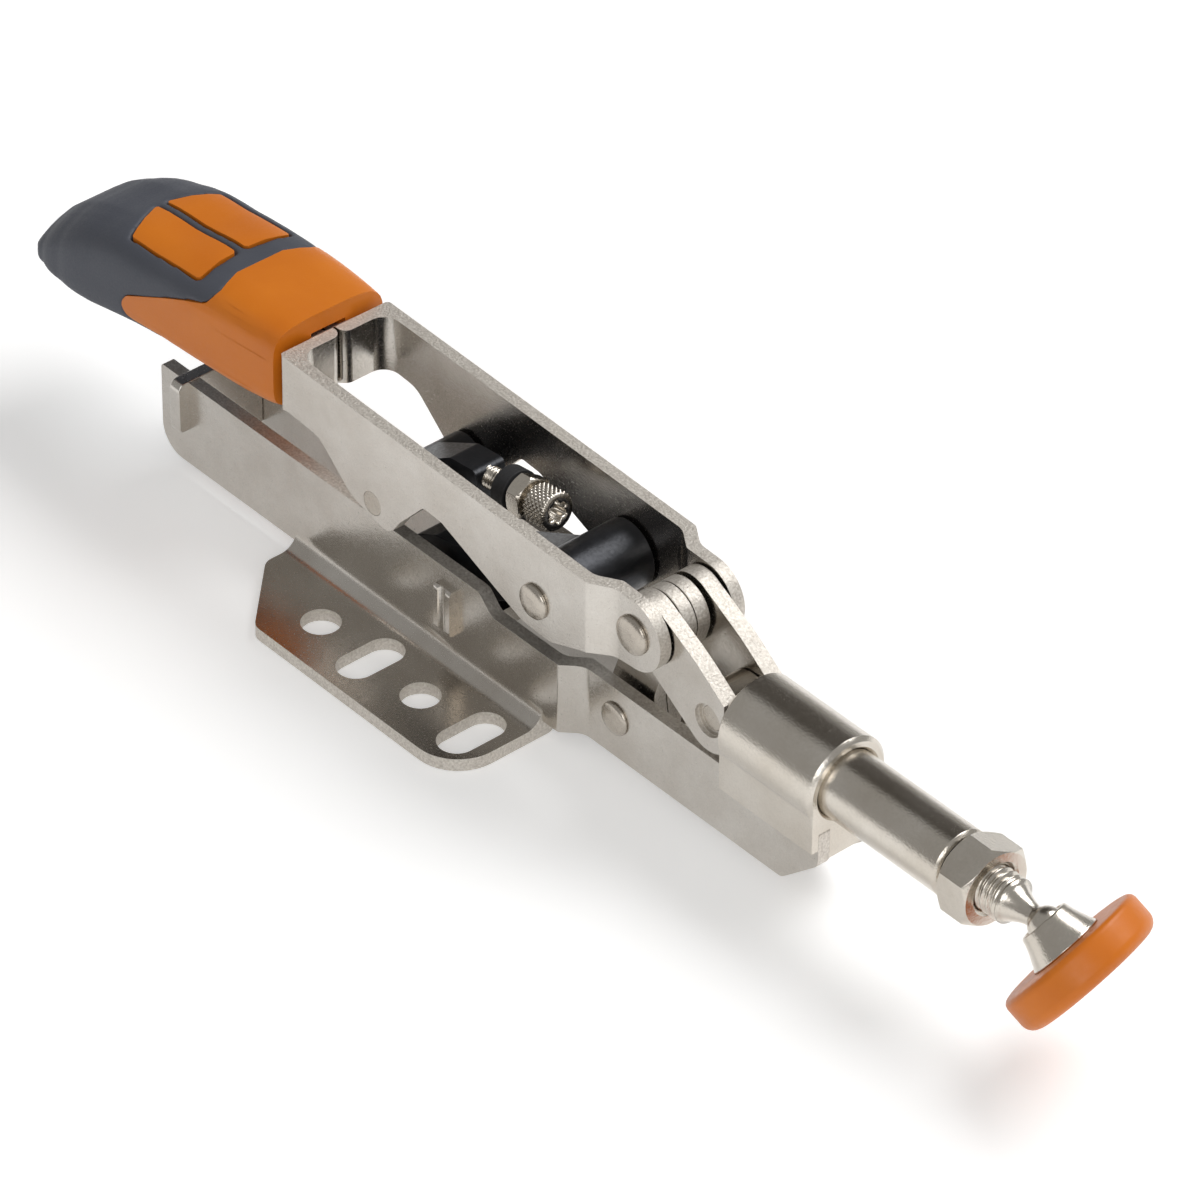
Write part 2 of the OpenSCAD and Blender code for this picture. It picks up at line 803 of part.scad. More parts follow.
// Black carriage on its pin, with the block that takes the adjusting screw
module adjuster_carriage() {
    half = 4;
    color(black)
        difference() {
            union() {
                across(carriage_at, rivet_d + 4.4, 0.6 - arm_in, arm_in - 0.6);
                upright(-half, half)
                    polygon(rounded([carriage_at + [-3, 3], carriage_at + [2, -3.6],
                        concat(carriage_at + [11, 2.6], [2]),
                        concat(block_at + [3.5, -4], [1]), concat(block_at + [2.8, 4], [1.4]),
                        concat(block_at + [-3.6, 3.4], [1.4])]));
            }
            across(carriage_at, rivet_d, -arm_in, arm_in);
            on_screw(-1.5)
                cylinder(d = screw_d + 2 * run_gap, h = 12);
        }
}

screw_l = 12.5;

// Threaded rod with its knurled head
module adjusting_screw() {
    color(bright)
        on_screw(-1)
            union() {
                cylinder(d = screw_d, h = screw_l + 1);
                translate([0, 0, screw_l])
                    difference() {
                        rotate_extrude()
                            polygon([[0, 0], [knob_d / 2 - 0.4, 0], [knob_d / 2, 0.4],
                                [knob_d / 2, knob_l - 0.4], [knob_d / 2 - 0.4, knob_l],
                                [0, knob_l]]);
                        translate([0, 0, knob_l - 2.4])
                            for (turn = [0, 60, 120])
                                rotate([0, 0, turn])
                                    translate([-knob_d / 4, -0.55, 0])
                                        cube([knob_d / 2, 1.1, 2.4 + cut]);
                    }
            }
}

module adjuster_ring() {
    color(black)
        on_screw(4.2)
            difference() {
                cylinder(r = small_af / 2 + 0.3, h = 3);
                translate([0, 0, -cut])
                    cylinder(d = screw_d + 2 * run_gap, h = 3 + 2 * cut);
            }
}

module adjuster_nut() {
    color(bright)
        on_screw(7.6)
            difference() {
                hexagon_nut(small_af, 3.2, 0.5);
                translate([0, 0, -cut])
                    cylinder(d = screw_d + 2 * run_gap, h = 3.2 + 2 * cut);
            }
}

// Handle sections: [distance from the front as a share, half width, top, underside, crown],
// with the heights above the front face's lower edge
handle_low = arm_top - 12.9;
sections = [
    [0, handle_half, handle_h - 2, 0, 1.9],
    [0.06, handle_half + 0.1, handle_h - 1.9, -1, 1.9],
    [0.25, handle_half + 0.3, handle_h - 1.9, -2.1, 1.9],
    [0.45, handle_half + 0.7, handle_h - 3, -3.2, 1.8],
    [0.65, handle_half + 1, handle_h - 5, -5.2, 1.6],
    [0.8, handle_half + 0.6, handle_h - 8, -7.2, 1.3],
    [0.9, handle_half - 1, handle_h - 11.6, -8.6, 1],
    [0.96, handle_half - 3.6, handle_h - 14.8, -9.2, 0.7],
    [0.99, handle_half - 6.6, handle_h - 17.4, -9.2, 0.4],
    [1, handle_half - 8.6, handle_h - 19.4, -8.9, 0.2]];
steps_between = 4;
ring_n = 32;
squareness = 0.42;

// Smooth curve through four neighbouring sections
function blend(a, b, c, d, t) =
    0.5 * (2 * b + (c - a) * t + (2 * a - 5 * b + 4 * c - d) * t * t
        + (3 * b - a - 3 * c + d) * t * t * t);

function section_at(i, t) =
    let (n = len(sections) - 1)
    blend(sections[max(i - 1, 0)], sections[i], sections[min(i + 1, n)],
        sections[min(i + 2, n)], t);

// Rounded box with a raised crown, seen along the handle
function ring(s, grow) = [for (k = [0 : ring_n - 1])
    let (a = 360 * (k + 0.5) / ring_n,
         c = cos(a),
         u = sin(a),
         middle = (s[2] + s[3]) / 2,
         high = (s[2] - s[3]) / 2,
         across_part = sign(c) * pow(abs(c), squareness),
         up_part = sign(u) * pow(abs(u), squareness))
    [handle_x - s[0] * handle_l,
        (s[1] + grow) * across_part,
        handle_low + middle + (high + grow) * up_part
            + max(0, up_part) * s[4] * (1 - pow(across_part, 2))]];

rings = [for (i = [0 : len(sections) - 2])
    each [for (t = [0 : steps_between - 1]) section_at(i, t / steps_between)],
    sections[len(sections) - 1]];

// Whole moulded body of the handle, grown or shrunk all round
module handle_body(grow) {
    points = [for (s = rings) each ring(s, grow)];
    n = len(rings);
    polyhedron(points = points, faces = concat(
        [[for (k = [ring_n - 1 : -1 : 0]) k]],
        [for (i = [0 : n - 2]) each [for (k = [0 : ring_n - 1])
            each let (a = i * ring_n + k, b = i * ring_n + (k + 1) % ring_n)
                [[a, b + ring_n, a + ring_n], [a, b, b + ring_n]]]],
        [[for (k = [0 : ring_n - 1]) (n - 1) * ring_n + k]]));
}

// Side outline of the hard front part, with the tongue that reaches back along the flank
module core_shape() {
    x = handle_x;
    z = handle_low;
    polygon(rounded([[x + cut, z - 4, 0], [x + cut, z + handle_h + 6, 0],
        [x - 16.5, z + handle_h + 6, 0], [x - 17.5, z + handle_h - 3.4, 3],
        [x - 23.5, z + 10.6, 4], [x - 37.2, z + 3.7, 2], [x - 39.6, z + 0.4, 2],
        [x - 36, z - 0.9, 2], [x - 17, z + 0.1, 4], [x - 12, z - 4, 2]]));
}

// Slot in the handle's front that takes the tongues of the lever arms
module arm_notch() {
    translate([arm_end_x - tongue_l, -notch_w / 2, arm_top - 12.2])
        cube([tongue_l + 4, notch_w, 10.8]);
    translate([handle_x - 3, -notch_w / 2, handle_low - 4])
        cube([4, notch_w, 4 + notch_top - handle_low]);
    translate([handle_x - 1, -notch_w / 2 - 0.7, handle_low - 4])
        cube([2, notch_w + 1.4, 4 + notch_top - handle_low]);
}

module handle_core() {
    color(orange)
        difference() {
            intersection() {
                handle_body(0);
                upright(-30, 30)
                    core_shape();
            }
            arm_notch();
        }
}

// Panel outlines from above: pointed at the rear, with a bar of the grip between them
panel_front = handle_x - 20.5;
panel_l = 24;
module panel_shape() {
    polygon(rounded([[panel_front + 1.2, 0.6, 0.5], [panel_front - 2.6, 9.4, 0.8],
        [panel_front - panel_l + 4.5, 9.4, 0.8], [panel_front - panel_l, 0.6, 0.5]]));
}

module handle_grip() {
    color(slate)
        difference() {
            handle_body(0);
            upright(-30, 30)
                core_shape();
            for (side = [0, 1])
                mirror([0, side, 0])
                    panel_pocket();
            arm_notch();
        }
}

// Space of one inlaid panel, from its seat up
module panel_pocket() {
    difference() {
        translate([0, 0, handle_low])
            linear_extrude(height = 40)
                panel_shape();
        handle_body(-inlay_t);
    }
}

module inlay() {
    intersection() {
        handle_body(0);
        panel_pocket();
    }
}

module inlay_left() {
    color(orange)
        inlay();
}

module inlay_right() {
    color(orange)
        mirror([0, 1, 0])
            inlay();
}

base_plate_left();
base_plate_right();
rear_cross_plate();
front_cross_plate();
guide_collar();
base_rivet();
strut_pin();
rocker_plate_left();
rocker_plate_right();
link_left();
link_right();
plunger_pin();
plunger();
seal_ring();
lock_nut();
ball_spindle();
pad_cup();
pad_cap();
lever_arm_left();
lever_arm_right();
lever_pin();
strut_rivet();
strut();
carriage_pin();
adjuster_carriage();
adjusting_screw();
adjuster_ring();
adjuster_nut();
handle_core();
handle_grip();
inlay_left();
inlay_right();
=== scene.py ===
import json
import math

import bmesh
import bpy
import numpy as np
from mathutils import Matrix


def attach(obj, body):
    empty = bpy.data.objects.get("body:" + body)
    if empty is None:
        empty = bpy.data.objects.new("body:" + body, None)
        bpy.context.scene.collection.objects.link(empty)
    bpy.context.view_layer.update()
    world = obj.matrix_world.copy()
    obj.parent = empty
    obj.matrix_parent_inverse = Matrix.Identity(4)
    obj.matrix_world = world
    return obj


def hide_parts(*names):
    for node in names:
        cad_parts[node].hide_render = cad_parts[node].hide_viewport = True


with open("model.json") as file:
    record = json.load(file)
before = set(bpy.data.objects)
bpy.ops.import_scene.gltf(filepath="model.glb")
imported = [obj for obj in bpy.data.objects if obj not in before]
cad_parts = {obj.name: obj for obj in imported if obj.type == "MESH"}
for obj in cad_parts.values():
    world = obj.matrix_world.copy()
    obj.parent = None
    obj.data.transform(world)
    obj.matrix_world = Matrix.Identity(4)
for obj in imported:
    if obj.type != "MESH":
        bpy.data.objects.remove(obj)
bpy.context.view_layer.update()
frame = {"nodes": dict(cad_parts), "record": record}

# Camera
# It stands in front of the pad and to the clamp's right, well above it, with a long lens.
# Its place comes from fitting the photograph's mounting holes, flange, plates and plunger.
CAMERA_AT = (0.78428, -0.65783, 0.79688)
CAMERA_RIGHT = (0.65516, 0.75545, 0.00768)
CAMERA_DOWN = (0.46627, -0.39632, -0.79090)
CAMERA_LENS = 236.95
CAMERA_SENSOR = 36
CAMERA_REACH = 20


def unit(vector):
    """The vector divided by its length."""
    vector = np.array(vector, float)
    return vector / np.linalg.norm(vector)


right = unit(CAMERA_RIGHT)
back = unit(np.cross(right, -np.array(CAMERA_DOWN)))
up = np.cross(back, right)
camera = bpy.data.objects.new("camera", bpy.data.cameras.new("camera"))
# The nested list is read column by column: the camera's right, up and back, then its place
camera.matrix_world = [[*right, 0], [*up, 0], [*back, 0], [*CAMERA_AT, 1]]
camera.data.lens = CAMERA_LENS
camera.data.sensor_width = CAMERA_SENSOR
camera.data.clip_end = CAMERA_REACH
scene = bpy.context.scene
scene.collection.objects.link(camera)
scene.camera = camera

scene.view_settings.view_transform = "Standard"

# Studio
# A white table that runs out of sight, and two large soft lamps: the stronger one high at
# the clamp's far side, so its shadow falls to the near side, and a weak one at the front.
TABLE_HALF = 3.0
TABLE_DROP = 0.0001
TABLE_WHITE = (0.93, 0.93, 0.93, 1)
TABLE_ROUGH = 0.9
TABLE_SHINE = 0.1
# How much brighter the table is for the camera, and for what mirrors it
TABLE_LIFT = 0.34
KEY_AT, KEY_SIZE, KEY_POWER = (0.25, 1.0, 1.35), (1.3, 0.9), 19
FRONT_AT, FRONT_SIZE, FRONT_POWER = (1.1, -0.9, 0.7), (0.8, 0.8), 5
LAMP_AIM = (0.04, 0, 0.02)


def wire(tree, source, target):
    """One link between two sockets."""
    tree.links.new(source, target)


def add_node(tree, kind, settings=(), values=()):
    """One shader node with its settings and its sockets' own values."""
    node = tree.nodes.new(kind)
    for name, value in dict(settings).items():
        setattr(node, name, value)
    for name, value in dict(values).items():
        node.inputs[name].default_value = value
    return node


def lay_table():
    """A wide flat sheet a hair under the flanges, lifted for camera, glossy and glass rays."""
    mesh = bpy.data.meshes.new("table")
    signs = ((-1, -1), (1, -1), (1, 1), (-1, 1))
    corners = [(x * TABLE_HALF, y * TABLE_HALF, -TABLE_DROP) for x, y in signs]
    mesh.from_pydata(corners, [], [(0, 1, 2, 3)])
    piece = bpy.data.objects.new("table", mesh)
    scene.collection.objects.link(piece)
    material = bpy.data.materials.new("table_white")
    material.use_nodes = True
    tree = material.node_tree
    shader = tree.nodes["Principled BSDF"]
    shader.inputs["Base Color"].default_value = TABLE_WHITE
    shader.inputs["Roughness"].default_value = TABLE_ROUGH
    shader.inputs["Specular IOR Level"].default_value = TABLE_SHINE
    shader.inputs["Emission Color"].default_value = TABLE_WHITE
    ray = add_node(tree, "ShaderNodeLightPath")
    seen = None
    for kind in ("Is Camera Ray", "Is Glossy Ray", "Is Transmission Ray"):
        total = add_node(tree, "ShaderNodeMath", {"operation": "MULTIPLY_ADD"}, {1: TABLE_LIFT, 2: 0})
        wire(tree, ray.outputs[kind], total.inputs[0])
        if seen is not None:
            wire(tree, seen, total.inputs[2])
        seen = total.outputs[0]
    wire(tree, seen, shader.inputs["Emission Strength"])
    mesh.materials.append(material)


def soft_light(name, at, size, power):
    """A rectangular lamp at a place, turned towards the clamp."""
    lamp = bpy.data.lights.new(name, "AREA")
    lamp.shape = "RECTANGLE"
    lamp.size, lamp.size_y = size
    lamp.energy = power
    piece = bpy.data.objects.new(name, lamp)
    direction = unit(np.array(LAMP_AIM) - np.array(at))
    side = unit(np.cross(direction, (0, 0, 1)))
    top = np.cross(side, direction)
    piece.matrix_world = [[*side, 0], [*top, 0], [*-direction, 0], [*at, 1]]
    scene.collection.objects.link(piece)


lay_table()
soft_light("key", KEY_AT, KEY_SIZE, KEY_POWER)
soft_light("front", FRONT_AT, FRONT_SIZE, FRONT_POWER)

# Room
# A pale room with one broad dark screen, high behind the clamp's handle end, which the
# upward faces mirror. The bands round the plunger and the collar come from it.
ROOM_PALE = (0.82, 0.81, 0.79, 1)
ROOM_DARK = (0.17, 0.155, 0.14, 1)
ROOM_STRENGTH = 0.46
SCREEN_AT = (-0.57, 0.42, 0.70)
# How near a direction is to the screen's where the dark begins, and where it is full
SCREEN_EDGE, SCREEN_FULL = 0.84, 0.93
# Sockets of a colour Mix node
MIX_FIRST, MIX_SECOND, MIX_RESULT = 6, 7, 2

world = bpy.data.worlds.new("room")
scene.world = world
world.use_nodes = True
sky = world.node_tree
outward = add_node(sky, "ShaderNodeTexCoord")
towards = add_node(sky, "ShaderNodeVectorMath", {"operation": "DOT_PRODUCT"}, {1: SCREEN_AT})
screen = add_node(sky, "ShaderNodeMapRange", {"interpolation_type": "SMOOTHSTEP"},
                  {"From Min": SCREEN_EDGE, "From Max": SCREEN_FULL})
shade = add_node(sky, "ShaderNodeMix", {"data_type": "RGBA"}, {MIX_FIRST: ROOM_PALE, MIX_SECOND: ROOM_DARK})
wire(sky, outward.outputs["Generated"], towards.inputs[0])
wire(sky, towards.outputs["Value"], screen.inputs["Value"])
wire(sky, screen.outputs["Result"], shade.inputs["Factor"])
wire(sky, shade.outputs[MIX_RESULT], sky.nodes["Background"].inputs["Color"])
sky.nodes["Background"].inputs["Strength"].default_value = ROOM_STRENGTH

# Nickel-plated steel
# Sheet and turned parts are plated alike: a warm grey with faint cloudy stains and a fine
# grain. Sheared edges are rougher and a little lighter, and polished parts are smoother.
MM = 0.001
# Waves in a metre of the stains, of the shallow dents and of the torn metal of an edge
STAIN_WAVES, DENT_WAVES, TORN_WAVES = 70, 160, 2400
SPECK_SHARE, SPECK_DARK = 0.12, 0.55
TORN_LIGHT, TORN_ROUGH = 1.2, 0.34
# Depth in metres and strength of each relief
DENT_BUMP = (0.00012, 0.25)
TORN_BUMP = (0.00014, 0.8)
PIT_STRENGTH = 0.6
# In a copied solid, points this near, in metres, and faces this nearly level are joined
MERGE_WITHIN = 2e-6
LEVEL_ANGLE = math.radians(0.5)
# Edges that turn by less than this are part of a bend and stay unbroken
BEND_ANGLE = math.radians(28)
FLAT_WEIGHT = 50


def grain(tree, place, scale, detail=2, roughness=0.5):
    """A noise on the piece's own metres, scale in waves per metre."""
    values = {"Scale": scale, "Detail": detail, "Roughness": roughness}
    noise = add_node(tree, "ShaderNodeTexNoise", {}, values)
    wire(tree, place, noise.inputs["Vector"])
    return noise.outputs["Fac"]


def span(tree, source, low, high, from_low=0.3, from_high=0.7):
    """The source's middle range stretched between two values."""
    node = add_node(tree, "ShaderNodeMapRange", {}, {
        "From Min": from_low, "From Max": from_high, "To Min": low, "To Max": high})
    wire(tree, source, node.inputs["Value"])
    return node.outputs["Result"]


def tinted(color, share):
    """The colour with each of its parts times share."""
    return tuple(share * part for part in color)


def blend_colors(tree, factor, first, second):
    """First colour where the factor is 0, second where it is 1; either may be a socket."""
    node = add_node(tree, "ShaderNodeMix", {"data_type": "RGBA"})
    for index, color in ((MIX_FIRST, first), (MIX_SECOND, second)):
        if isinstance(color, tuple):
            node.inputs[index].default_value = (*color, 1)
        else:
            wire(tree, color, node.inputs[index])
    wire(tree, factor, node.inputs["Factor"])
    return node.outputs[MIX_RESULT]


def relief(tree, shader, sources):
    """A chain of bumps, each a (height socket, depth in metres, strength)."""
    normal = None
    for height, depth, strength in sources:
        bump = add_node(tree, "ShaderNodeBump", {}, {"Strength": strength, "Distance": depth})
        wire(tree, height, bump.inputs["Height"])
        if normal is not None:
            wire(tree, normal, bump.inputs["Normal"])
        normal = bump.outputs["Normal"]
    wire(tree, normal, shader.inputs["Normal"])


def new_material(name):
    """An empty material, its tree, its shader and the piece's own place."""
    material = bpy.data.materials.new(name)
    material.use_nodes = True
    tree = material.node_tree
    place = add_node(tree, "ShaderNodeTexCoord").outputs["Object"]
    return material, tree, tree.nodes["Principled BSDF"], place


def nickel(name, light, stain, smooth, rough, fleck, pit):
    """Plated steel: stain clouds about 14 mm wide, fine flecks, and torn metal on cut edges.

    fleck is in waves per metre, pit in metres, and smooth and rough bound the roughness.
    """
    material, tree, shader, place = new_material(name)
    shader.inputs["Metallic"].default_value = 1
    stains = grain(tree, place, STAIN_WAVES, detail=5, roughness=0.62)
    clouds = span(tree, stains, 0, 1, from_low=0.3, from_high=0.75)
    flecks = grain(tree, place, fleck, detail=3, roughness=0.65)
    cut = add_node(tree, "ShaderNodeAttribute", {"attribute_name": "sheared"}).outputs["Fac"]
    torn = grain(tree, place, TORN_WAVES, detail=3, roughness=0.6)
    face_color = blend_colors(tree, clouds, light, stain)
    speck = span(tree, flecks, 0, SPECK_SHARE)
    face_color = blend_colors(tree, speck, face_color, tinted(stain, SPECK_DARK))
    edge_color = blend_colors(tree, span(tree, torn, 0, 1), tinted(light, TORN_LIGHT), stain)
    wire(tree, blend_colors(tree, cut, face_color, edge_color), shader.inputs["Base Color"])
    face_rough = span(tree, flecks, smooth, rough)
    sum_rough = add_node(tree, "ShaderNodeMath", {"operation": "MULTIPLY_ADD"}, {1: TORN_ROUGH})
    wire(tree, cut, sum_rough.inputs[0])
    wire(tree, face_rough, sum_rough.inputs[2])
    wire(tree, sum_rough.outputs[0], shader.inputs["Roughness"])
    torn_high = add_node(tree, "ShaderNodeMath", {"operation": "MULTIPLY"})
    wire(tree, torn, torn_high.inputs[0])
    wire(tree, cut, torn_high.inputs[1])
    relief(tree, shader, [(grain(tree, place, DENT_WAVES), *DENT_BUMP), (flecks, pit, PIT_STRENGTH),
                          (torn_high.outputs[0], *TORN_BUMP)])
    return material


plate_nickel = nickel("nickel_sheet", light=(0.66, 0.63, 0.585), stain=(0.52, 0.48, 0.43),
                      smooth=0.17, rough=0.29, fleck=2600, pit=0.00003)
bright_nickel = nickel("nickel_polished", light=(0.70, 0.66, 0.60), stain=(0.57, 0.52, 0.45),
                       smooth=0.14, rough=0.26, fleck=2400, pit=0.00007)
rivet_nickel = nickel("nickel_rivet", light=(0.56, 0.515, 0.455), stain=(0.43, 0.385, 0.33),
                      smooth=0.17, rough=0.32, fleck=2400, pit=0.00005)
bodies = frame["record"]["behaviour"]["bodies"]


def stand_for(piece, name):
    """The piece rides on the node's body, and the node is hidden."""
    body = next(body for body, names in bodies.items() if name in names)
    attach(piece, body)
    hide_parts(name)
    return piece


def read_rows(items, field):
    """A field of three numbers of each vertex or face, as the rows of an array."""
    values = np.empty(len(items) * 3)
    items.foreach_get(field, values)
    return values.reshape(-1, 3)


def finished(name, material, width, sheared=None, reshape=None):
    """A copy of a CAD solid, joined up, with its edges broken by a round, width in mm.

    sheared tells the cut faces of a sheet from its rolled ones, by normal and centre in mm.
    reshape moves the points, an array in mm, before the edges are broken.
    """
    mesh = frame["nodes"][name].data.copy()
    mesh.materials.clear()
    shape = bmesh.new()
    shape.from_mesh(mesh)
    bmesh.ops.remove_doubles(shape, verts=shape.verts, dist=MERGE_WITHIN)
    bmesh.ops.dissolve_limit(shape, angle_limit=LEVEL_ANGLE, verts=shape.verts, edges=shape.edges)
    shape.to_mesh(mesh)
    shape.free()
    for layer in list(mesh.attributes):
        if layer.name in ("custom_normal", "sharp_face", "sharp_edge"):
            mesh.attributes.remove(layer)
    if reshape is not None:
        moved = reshape(read_rows(mesh.vertices, "co") / MM) * MM
        mesh.vertices.foreach_set("co", moved.ravel())
        mesh.update()
    if sheared is not None:
        normals = np.abs(read_rows(mesh.polygons, "normal"))
        cut = sheared(normals, read_rows(mesh.polygons, "center") / MM)
        layer = mesh.attributes.new("sheared", "FLOAT", "FACE")
        layer.data.foreach_set("value", cut.astype(np.float32))
    mesh.shade_smooth()
    piece = bpy.data.objects.new(name + "_finished", mesh)
    scene.collection.objects.link(piece)
    bevel = piece.modifiers.new("broken edges", "BEVEL")
    bevel.width = width * MM
    bevel.segments = 2
    bevel.limit_method = "ANGLE"
    bevel.angle_limit = BEND_ANGLE
    bevel.miter_outer = "MITER_ARC"
    weights = piece.modifiers.new("flat faces", "WEIGHTED_NORMAL")
    weights.mode = "FACE_AREA"
    weights.weight = FLAT_WEIGHT
    mesh.materials.append(material)
    return stand_for(piece, name)


# Base
# Two plates of 2.4 mm sheet, cut and bent outwards into the flanges, and riveted round a
# rear and a front cross plate, whose ends pass through slots in the plates.
FLANGE_BEND = 6  # Above this height a plate stands upright
FLANGE_TOP = 2.3  # Below this height lies the rim of a flange
FACING = 0.5  # A normal with less than this along an axis points another way


def base_cut(normal, middle):
    """The plate's upper and end edges, and the flange's rim, but not its top."""
    plate_edge = (normal[:, 1] < FACING) & (middle[:, 2] > FLANGE_BEND)
    flange_rim = (normal[:, 2] < FACING) & (middle[:, 2] < FLANGE_TOP)
    return plate_edge | flange_rim


for name in ("base_plate_left", "base_plate_right"):
    finished(name, plate_nickel, width=0.22, sheared=base_cut)
for name in ("rear_cross_plate", "front_cross_plate"):
    finished(name, plate_nickel, width=0.3)

# Guide and plunger
# The collar is rolled from sheet round the plunger and pressed together below it. The
# plunger is a polished 12 mm bar, with its tongue pinned between the links.
for name in ("guide_collar", "plunger"):
    finished(name, bright_nickel, width=0.25)

# Linkage
# Two rocker plates and two links, blanked from thick sheet with torn edges. They swing on
# pins and rivets, whose heads are plated a little darker than the sheet.


def blank_cut(normal, middle):
    """Every edge across the sheet."""
    return normal[:, 1] < FACING


for name in ("rocker_plate_left", "rocker_plate_right", "link_left", "link_right"):
    finished(name, plate_nickel, width=0.25, sheared=blank_cut)
for name in ("base_rivet", "strut_pin", "plunger_pin", "lever_pin", "strut_rivet", "carriage_pin"):
    finished(name, rivet_nickel, width=0.12)

# Lever arms
# Two arms of bent sheet, each with a head for the pin, an arched cut-out and a tongue at
# the rear. Their cut edges are torn, and the bend at the rear is as smooth as the sheet.
REAR_BEND = -24  # Behind this x the arms bend
BEND_FACING = 0.3  # The normals of the bend's faces have less than this upwards


def arm_cut(normal, middle):
    """Every edge across the sheet, but not the faces of the bend at the rear."""
    bend = (normal[:, 2] < BEND_FACING) & (middle[:, 0] < REAR_BEND)
    return (normal[:, 1] < FACING) & ~bend


for name in ("lever_arm_left", "lever_arm_right"):
    finished(name, plate_nickel, width=0.28, sheared=arm_cut)

# Blackened and rubber parts
# The strut's sleeve and the adjuster's carriage are blackened steel, oily and smooth. The
# seal and the adjuster's ring are black rubber.
OIL_WAVES, OIL_LIGHT = 140, 1.9
PORE_WAVES, PORE_STRENGTH = 1800, 0.5
SCREW_AT = (4.891, 0, 34.208)
SCREW_AXIS = (0.990268, 0, 0.139173)
# Where the carriage's block begins and how far it takes to its full drawing in, in x
BLOCK_FROM, BLOCK_REACH = -5.0, 4
# Within this of the middle it keeps its width, and beyond it shares of width and height
BLOCK_CORE = 2.5
BLOCK_SLIM, BLOCK_LOW = 0.75, 0.62


def dark(name, color, metallic, smooth, rough, depth):
    """A dark finish with fine pits that also vary its gloss, depth in metres."""
    material, tree, shader, place = new_material(name)
    shader.inputs["Metallic"].default_value = metallic
    pits = grain(tree, place, PORE_WAVES, detail=3, roughness=0.6)
    oil = span(tree, grain(tree, place, OIL_WAVES, detail=3), 0, 1)
    wire(tree, blend_colors(tree, oil, color, tinted(color, OIL_LIGHT)), shader.inputs["Base Color"])
    wire(tree, span(tree, pits, smooth, rough), shader.inputs["Roughness"])
    relief(tree, shader, [(pits, depth, PORE_STRENGTH)])
    return material


black_oxide = dark("black_oxide", color=(0.018, 0.019, 0.022), metallic=0.6,
                   smooth=0.28, rough=0.45, depth=0.00005)
black_rubber = dark("black_rubber", color=(0.013, 0.013, 0.014), metallic=0,
                    smooth=0.5, rough=0.75, depth=0.00006)


def slim_block(points):
    """The block round the screw is drawn in: y by a share, and z above the screw's line."""
    line = SCREW_AT[2] + (points[:, 0] - SCREW_AT[0]) * SCREW_AXIS[2] / SCREW_AXIS[0]
    block = np.clip((points[:, 0] - BLOCK_FROM) / BLOCK_REACH, 0, 1)
    above = np.maximum(points[:, 2] - line, 0)
    narrow = 1 - block * (1 - BLOCK_SLIM) * (np.abs(points[:, 1]) > BLOCK_CORE)
    lowered = points[:, 2] - block * (1 - BLOCK_LOW) * above
    return np.stack([points[:, 0], points[:, 1] * narrow, lowered], 1)


finished("strut", black_oxide, width=0.25)
finished("adjuster_carriage", black_oxide, width=0.25, reshape=slim_block)
finished("seal_ring", black_rubber, width=0.12)

# Spindle and lock nut
# The spindle's thread is rolled to M8 and runs out before the cone and the ball. It screws
# into the plunger's end, and the nut locks it there against the seal.
SPINDLE_BACK, NUT_FRONT, BALL_X = 95.9, 127.2, 138.5
THREAD_FROM, THREAD_SHOWN = 126.0, 4.2
SPINDLE_R, CONE_R, NECK_R, BALL_R = 4.0, 3.3, 1.75, 3.1
SPINDLE_PITCH, SPINDLE_CUT = 1.25, 0.62
CONE_BEND = 1.7
AXIS_H = 24.0
SPINDLE_STEPS = 120
PLAIN_STEP, THREAD_STEP = 4.0, 0.07
# A closed end is drawn in to a cap of this radius
END_R = 0.01
# Points this near, in metres, are one
SAME_POINT = 1e-7
NUT_TURN = math.radians(24)
# A thread's saw is made steeper by the first and lowered by the second, then clipped
CREST_STEEP, CREST_FLAT = 1.25, 0.12


def round_angles(steps):
    """Equal steps of a full turn, its end left out."""
    return np.linspace(0, 2 * np.pi, steps, endpoint=False)


def turned(name, along, radius, origin, axis, material):
    """A surface of revolution: point = origin + axis * along + radius(along, angle) * spoke.

    along is an array of distances, radius a grid of radii, one row for each of them.
    """
    angles = round_angles(radius.shape[1])
    axis = unit(axis)
    side = unit(np.cross((0, 1, 0), axis))
    third = np.cross(axis, side)
    spokes = np.cos(angles)[:, None] * side + np.sin(angles)[:, None] * third
    points = np.array(origin) + along[:, None, None] * axis + radius[:, :, None] * spokes
    rows, columns = radius.shape
    index = np.arange(rows * columns).reshape(rows, columns)
    near, far = index[:-1], index[1:]
    quads = np.stack([near, np.roll(near, -1, 1), np.roll(far, -1, 1), far], -1).reshape(-1, 4)
    faces = [*quads.tolist(), index[0][::-1].tolist(), index[-1].tolist()]
    mesh = bpy.data.meshes.new(name)
    mesh.from_pydata((points.reshape(-1, 3) * MM).tolist(), [], faces)
    shape = bmesh.new()
    shape.from_mesh(mesh)
    bmesh.ops.remove_doubles(shape, verts=shape.verts, dist=SAME_POINT)
    bmesh.ops.recalc_face_normals(shape, faces=shape.faces)
    shape.to_mesh(mesh)
    shape.free()
    mesh.shade_smooth()
    mesh.materials.append(material)
    piece = bpy.data.objects.new(name, mesh)
    scene.collection.objects.link(piece)
    return piece


